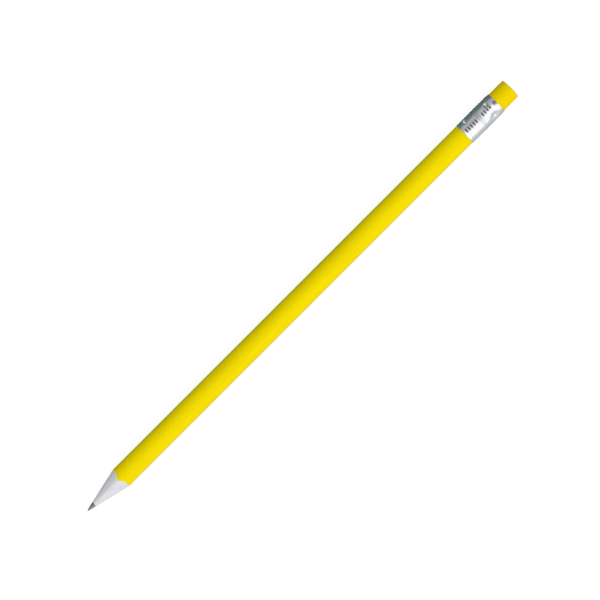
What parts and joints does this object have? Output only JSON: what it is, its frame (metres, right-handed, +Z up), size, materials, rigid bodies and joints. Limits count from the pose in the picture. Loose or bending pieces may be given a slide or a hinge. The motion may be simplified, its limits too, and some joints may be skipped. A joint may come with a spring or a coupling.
{
  "type": "pencil",
  "caption": "Round wood-cased graphite pencil, sharpened, with yellow lacquer, a crimped metal ferrule and a matching eraser.",
  "frame": {"origin": "on the surface the pencil lies on, directly below the middle of its length and below its centre line", "axes": "+X along the pencil from the graphite point to the eraser, +Z up, so +Y is to the left of someone looking from the point towards the eraser"},
  "size_m": [0.1876, 0.0076, 0.0076],
  "materials": {
    "graphite": "satin",
    "casing_wood": "matte",
    "casing_glue": "satin",
    "yellow_lacquer": "satin",
    "ferrule_aluminium": "satin",
    "eraser_rubber": "matte"
  },
  "bodies": {
    "root": {"graphite_core": "graphite", "casing_upper": "casing_wood", "casing_lower": "casing_wood", "glue_line_left": "casing_glue", "glue_line_right": "casing_glue", "lacquer_coat": "yellow_lacquer", "ferrule": "ferrule_aluminium", "eraser": "eraser_rubber"}
  },
  "joints": []
}
